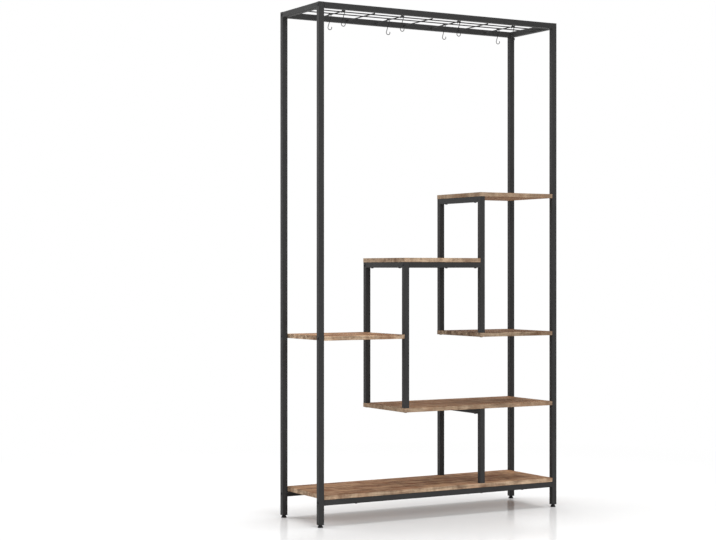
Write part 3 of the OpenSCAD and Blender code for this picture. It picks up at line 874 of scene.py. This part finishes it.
def domed_fastener(sizes, kind, length):
    """One bolt or screw along +Z: its head is below the seat at z = 0, with a hexagon socket,
    and its thread is on the last stretch of the shank. A screw ends in a point."""
    shank, head, height, key, pitch, thread = (
        getattr(sizes, f"{kind}_{name}")
        for name in ("shank", "head", "head_height", "key", "pitch", "thread"))
    pointed = kind == "screw"
    core = max(shank / 2 - (0.35 if pointed else 0.6) * pitch, 0.3 * shank)
    tip = length - (shank / 2 if pointed else 0.08 * shank)
    end_radius = 0.05 * shank if pointed else core - 0.05 * shank
    crown_radius, crown_steps = key * 0.72, 6
    crown = []
    for k in range(crown_steps + 1):
        a = math.pi / 2 * k / crown_steps
        crown.append((crown_radius + (head / 2 - crown_radius) * math.sin(a),
                      -height * 0.3 - height * 0.7 * math.cos(a)))
    smooth_end = length - thread
    bm = bmesh.new()
    turned(bm, crown + [
        (head / 2, -0.08 * height), (head / 2 - 0.08 * height, 0.0), (shank / 2, 0.0),
        (shank / 2, smooth_end - 0.1 * shank), (core, smooth_end), (core, tip),
        (end_radius, length)], 36)
    rims = [e for e in bm.edges if e.is_boundary]
    tip_rim = [e for e in rims if edge_height(e) > length / 2]
    crown_rim = [e for e in rims if edge_height(e) < 0]
    bmesh.ops.edgeloop_fill(bm, edges=tip_rim)
    # The socket: a hexagon inside the crown, bridged to it and pushed in
    socket = ring(bm, key / 2 / math.cos(math.pi / 6), 6, Matrix.Translation((0, 0, -height)))
    bmesh.ops.bridge_loops(bm, edges=crown_rim + socket)
    wall = pull(bm, socket, Vector((0, 0, 0.12 * height)), 0.94)
    wall = pull(bm, wall, Vector((0, 0, 0.62 * height)))
    bmesh.ops.edgeloop_fill(bm, edges=wall)
    bmesh.ops.recalc_face_normals(bm, faces=bm.faces)
    helix(bm, core, shank / 2, pitch, smooth_end, tip - 0.1 * pitch)
    return bm


class STAND_OT_fit_fasteners(Operator):
    """Replace the bolts and screws with domed, threaded ones with hexagon sockets"""

    bl_idname = "stand.fit_fasteners"
    bl_label = "Fit the fasteners"

    def execute(self, context):
        sizes = context.scene.stand_sizes
        for node, kind in FASTENERS.items():
            head = getattr(sizes, f"{kind}_head_height")
            by_length = {}
            for matrix, length in fastener_places(node, head):
                by_length.setdefault(round(length, 5), []).append(matrix)
            bm = bmesh.new()
            for length, matrices in by_length.items():
                add_copies(bm, domed_fastener(sizes, kind, length), matrices)
            piece = new_piece(f"threaded_{node}", bm, "black_oxide", "frame")
            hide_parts(node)
        return {"FINISHED"}


def bead(length, radius, ripple):
    """A rippled weld bead along +Z from the origin, with rounded ends."""
    bm = bmesh.new()
    steps = max(4, round(length / ripple) * 3)
    rim = first = ring(bm, radius, 10, Matrix.Identity(4))
    swell = [1.0, 1.10, 1.04]
    for k in range(steps):
        rim = pull(bm, rim, Vector((0, 0, length / steps)), swell[(k + 1) % 3] / swell[k % 3])
    dome(bm, rim, Vector((0, 0, 1)), radius * 0.8, 3)
    dome(bm, first, Vector((0, 0, -1)), radius * 0.8, 3)
    return bm


class STAND_OT_weld_frame(Operator):
    """Lay the weld beads where the crossbars and side rails meet their posts"""

    bl_idname = "stand.weld_frame"
    bl_label = "Weld the frame"

    def execute(self, context):
        sizes = context.scene.stand_sizes
        # A fillet's middle is off the corner by less than its radius, and it stops short of
        # the tube's rounded edges; a seam lies within them
        off_corner, short = 0.45 * sizes.weld_bead, 3.0 * MM
        seam_in, seam_out, seam_short = 1.15 * MM, 0.9 * MM, 1.5 * MM
        along_x = Matrix.Rotation(math.pi / 2, 4, "Y")
        fillets, seams = [], []
        for bar in WELDED_BARS:
            low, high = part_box(bar)
            for y, inward in ((low.y, 1.0), (high.y, -1.0)):
                # The fillet under the bar, in the corner between it and the post
                fillets.append(Matrix.Translation(
                    (low.x + short, y + inward * off_corner, low.z - off_corner)) @ along_x)
                # The seams that fill the hollow beside the post's rounded corners
                for x, side in ((low.x, 1.0), (high.x, -1.0)):
                    seams.append(Matrix.Translation(
                        (x + side * seam_in, y - inward * seam_out, low.z + seam_short)))
        bar_width, bar_height = high.x - low.x, high.z - low.z
        bm = bmesh.new()
        add_copies(bm, bead(bar_width - 2 * short, sizes.weld_bead, sizes.weld_ripple), fillets)
        add_copies(bm, bead(bar_height - 3 * seam_short, sizes.weld_seam, sizes.weld_ripple),
                   seams)
        new_piece("weld_beads", bm, "powder_coat", "frame", 60.0)
        return {"FINISHED"}


def wire_along(bm, start, end, radius, tips):
    """A straight round wire with a rounded tip where tips says so, at its start and end."""
    line = end - start
    wire = bmesh.new()
    first = ring(wire, radius, 20, Matrix.Identity(4))
    last = pull(wire, first, Vector((0, 0, line.length)))
    for edges, round_tip, way in ((last, tips[1], 1), (first, tips[0], -1)):
        if round_tip:
            dome(wire, edges, Vector((0, 0, way)), radius * 0.5, 4)
        else:
            bmesh.ops.edgeloop_fill(wire, edges=edges)
    add_copies(bm, wire, [pointing(start, line)])


def collar(bm, place, way, radius):
    """The weld round a wire's end: a cone with a hollowed side, from the wall along way."""
    one = bmesh.new()
    turned(one, [(radius * r, radius * z) for r, z in COLLAR], 24)
    add_copies(bm, one, [pointing(place, way)])


def nugget(bm, place, radius):
    """The flash of a resistance weld where two wires cross: a flattened, uneven lens."""
    lobes, unevenness = 9.0, 0.07
    # The lobes are turned by the place along X, so that the nuggets on one wire differ
    first_lobe = 300.0 * place.x
    made = bmesh.ops.create_icosphere(bm, subdivisions=2, radius=radius)["verts"]
    bmesh.ops.scale(bm, verts=made, vec=(1.25, 1.25, 0.62))
    for v in made:
        v.co *= 1.0 + unevenness * math.sin(lobes * math.atan2(v.co.y, v.co.x) + first_lobe)
    bmesh.ops.smooth_vert(bm, verts=made, factor=0.3, use_axis_x=True, use_axis_y=True,
                          use_axis_z=True)
    bmesh.ops.translate(bm, verts=made, vec=place)


class STAND_OT_weld_grid(Operator):
    """Make the hanging grid's wires, with their welds and their rounded free ends"""

    bl_idname = "stand.weld_grid"
    bl_label = "Weld the grid"

    def execute(self, context):
        radius = context.scene.stand_sizes.grid_wire / 2
        long_ones = islands("grid_long_wires")
        bm = bmesh.new()
        for low, high in long_ones:
            y, z = (low.y + high.y) / 2, (low.z + high.z) / 2
            left, right = Vector((low.x, y, z)), Vector((high.x, y, z))
            wire_along(bm, left, right, radius, (False, False))
            collar(bm, left, Vector((1, 0, 0)), radius)
            collar(bm, right, Vector((-1, 0, 0)), radius)
        piece = new_piece("grid_long_wires_coated", bm, "wire_coat", "frame")
        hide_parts("grid_long_wires")
        bm = bmesh.new()
        for low, high in islands("grid_cross_wires"):
            x, z = (low.x + high.x) / 2, (low.z + high.z) / 2
            tip, root = Vector((x, low.y + radius * 0.5, z)), Vector((x, high.y, z))
            wire_along(bm, tip, root, radius, (True, False))
            collar(bm, root, Vector((0, -1, 0)), radius)
            for long_low, long_high in long_ones:
                touch = Vector((x, (long_low.y + long_high.y) / 2, (long_high.z + low.z) / 2))
                nugget(bm, touch, radius * 1.15)
        piece = new_piece("grid_cross_wires_coated", bm, "wire_coat", "frame",
                          50.0)
        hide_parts("grid_cross_wires")
        return {"FINISHED"}


class STAND_OT_build_studio(Operator):
    """Set the floor, the lamps, the white surround and the camera"""

    bl_idname = "stand.build_studio"
    bl_label = "Build the studio"

    def execute(self, context):
        scene = context.scene
        studio = scene.stand_studio
        scene.view_settings.view_transform = "Standard"
        self.floor(scene, studio)
        self.surround(scene, studio)
        for name, (size, place, target) in LAMPS.items():
            self.lamp(f"{name}_lamp", getattr(studio, name), size, place, target)
        self.camera(scene, studio)
        return {"FINISHED"}

    def floor(self, scene, studio):
        """A pale floor with some gloss, lit near the stand and fading to white far from it."""
        bm = bmesh.new()
        bmesh.ops.create_grid(bm, x_segments=24, y_segments=24, size=FLOOR_REACH)
        floor = new_object("studio_floor", mesh_from(bm, "studio_floor"))
        material = bpy.data.materials.new("studio_floor")
        floor.data.materials.append(material)
        tree = empty_tree(material)
        place = put(tree, "ShaderNodeTexCoord").outputs["Object"]
        tint = scene.stand_colours.floor
        base = mixed(tree, noise(tree, place, 3.0, 3.0), rgba(tint, 0.985), rgba(tint))
        matt = put(tree, "ShaderNodeBsdfDiffuse", {"Color": base})
        sheen = put(tree, "ShaderNodeBsdfGlossy", {
            "Color": WHITE, "Roughness": studio.floor_blur})
        lit = mixed_shader(tree, studio.floor_gloss, matt, sheen)
        # The floor's own white, more of it further out, is seen by the camera, in gloss and
        # through glass only, so that it lights nothing
        glow = put(tree, "ShaderNodeEmission", {"Color": WHITE, "Strength": 1.0})
        far = put(tree, "ShaderNodeVectorMath", {0: place}, operation="LENGTH").outputs["Value"]
        share = maths(tree, "MULTIPLY", span(tree, far, GLOW_NEAR, GLOW_FAR), seen_itself(tree))
        both = mixed_shader(tree, share, lit, glow)
        put(tree, "ShaderNodeOutputMaterial", {"Surface": both.outputs[0]})

    def surround(self, scene, studio):
        """White where the camera or a reflection sees it, and a plain soft light elsewhere."""
        scene.world = bpy.data.worlds.new("studio_surround")
        tree = empty_tree(scene.world)
        soft = put(tree, "ShaderNodeBackground", {"Color": WHITE, "Strength": studio.ambient})
        white = put(tree, "ShaderNodeBackground", {"Color": WHITE, "Strength": 1.0})
        both = mixed_shader(tree, seen_itself(tree), soft, white)
        put(tree, "ShaderNodeOutputWorld", {"Surface": both.outputs[0]})

    def lamp(self, name, watts, size, place, target):
        data = bpy.data.lights.new(name, "AREA")
        data.shape = "RECTANGLE"
        data.size, data.size_y = size
        data.energy = watts
        lamp = new_object(name, data)
        lamp.location = place
        way = Vector(target) - Vector(place)
        lamp.rotation_euler = way.to_track_quat("-Z", "Y").to_euler()

    def camera(self, scene, studio):
        data = bpy.data.cameras.new("studio_camera")
        data.sensor_width = 36.0
        data.lens = studio.lens
        data.shift_x = studio.shift_x
        data.shift_y = studio.shift_y
        data.clip_end = 100.0
        camera = new_object("studio_camera", data)
        camera.location = studio.camera_place
        camera.rotation_euler = (math.pi / 2, 0.0, -studio.camera_turn)
        scene.camera = camera


STEPS = (
    STAND_OT_mix_finishes, STAND_OT_coat_frame, STAND_OT_finish_boards, STAND_OT_bend_hooks,
    STAND_OT_turn_feet, STAND_OT_fit_fasteners, STAND_OT_weld_frame, STAND_OT_weld_grid,
    STAND_OT_build_studio,
)
GROUPS = {"stand_sizes": StandSizes, "stand_colours": StandColours,
          "stand_studio": StandStudio}


class STAND_PT_sidebar(Panel):
    """The stand's steps, in the order in which they are run"""

    bl_idname = "STAND_PT_sidebar"
    bl_label = "Plant stand"
    bl_space_type = "VIEW_3D"
    bl_region_type = "UI"
    bl_category = "Plant stand"

    def draw(self, context):
        column = self.layout.column(align=True)
        for step in STEPS:
            column.operator(step.bl_idname)
        for group in GROUPS:
            box = self.layout.box()
            values = getattr(context.scene, group)
            for name in values.__annotations__:
                box.prop(values, name)


CLASSES = (*GROUPS.values(), *STEPS, STAND_PT_sidebar)


def register():
    for cls in CLASSES:
        bpy.utils.register_class(cls)
    for name, cls in GROUPS.items():
        setattr(bpy.types.Scene, name, PointerProperty(type=cls))


def unregister():
    for name in GROUPS:
        delattr(bpy.types.Scene, name)
    for cls in reversed(CLASSES):
        bpy.utils.unregister_class(cls)


def main():
    register()
    bpy.ops.stand.mix_finishes()
    bpy.ops.stand.coat_frame()
    bpy.ops.stand.finish_boards()
    bpy.ops.stand.bend_hooks()
    bpy.ops.stand.turn_feet()
    bpy.ops.stand.fit_fasteners()
    bpy.ops.stand.weld_frame()
    bpy.ops.stand.weld_grid()
    bpy.ops.stand.build_studio()


if __name__ == "__main__":
    main()
